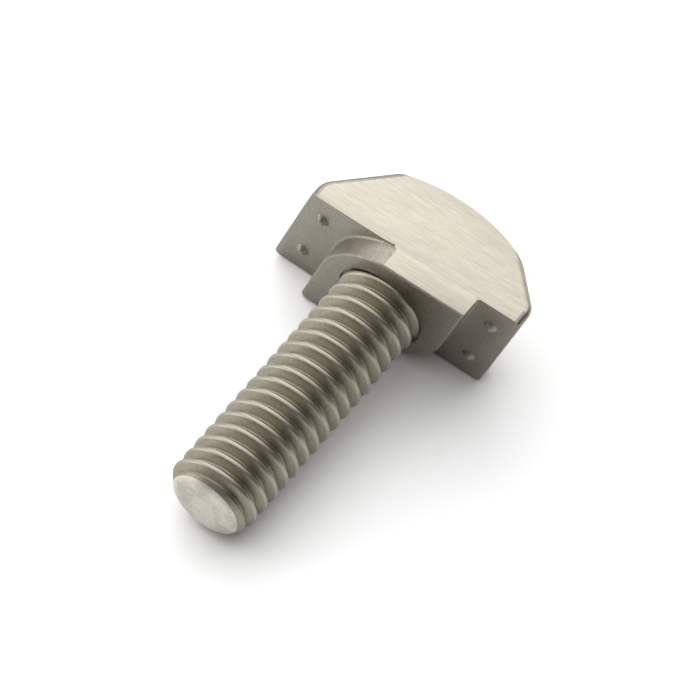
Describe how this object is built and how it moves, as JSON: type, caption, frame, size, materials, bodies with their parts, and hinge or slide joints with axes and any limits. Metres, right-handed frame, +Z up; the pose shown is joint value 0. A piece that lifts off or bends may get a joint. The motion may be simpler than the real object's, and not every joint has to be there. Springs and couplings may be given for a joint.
{
  "type": "mounting bolt",
  "caption": "Hammer-head T-slot mounting bolt with a slanted one-piece head, turn-and-lock neck, blunt contact points and a full-length thread.",
  "frame": {"origin": "where the thread axis meets the clamping plane under the head", "axes": "+Z up with the bolt lying on its side; +X along the wings of the head; the thread axis runs from the head towards -Y and dips about five degrees to the tip, as the bolt rests on the neck's lower edge and the last full turn of thread"},
  "size_m": [0.0242, 0.0341, 0.0129],
  "materials": {
    "steel": "brushed ground flats, satin forged and rolled surfaces"
  },
  "bodies": {
    "root": {"hammer_head_bolt": "steel"}
  },
  "joints": []
}
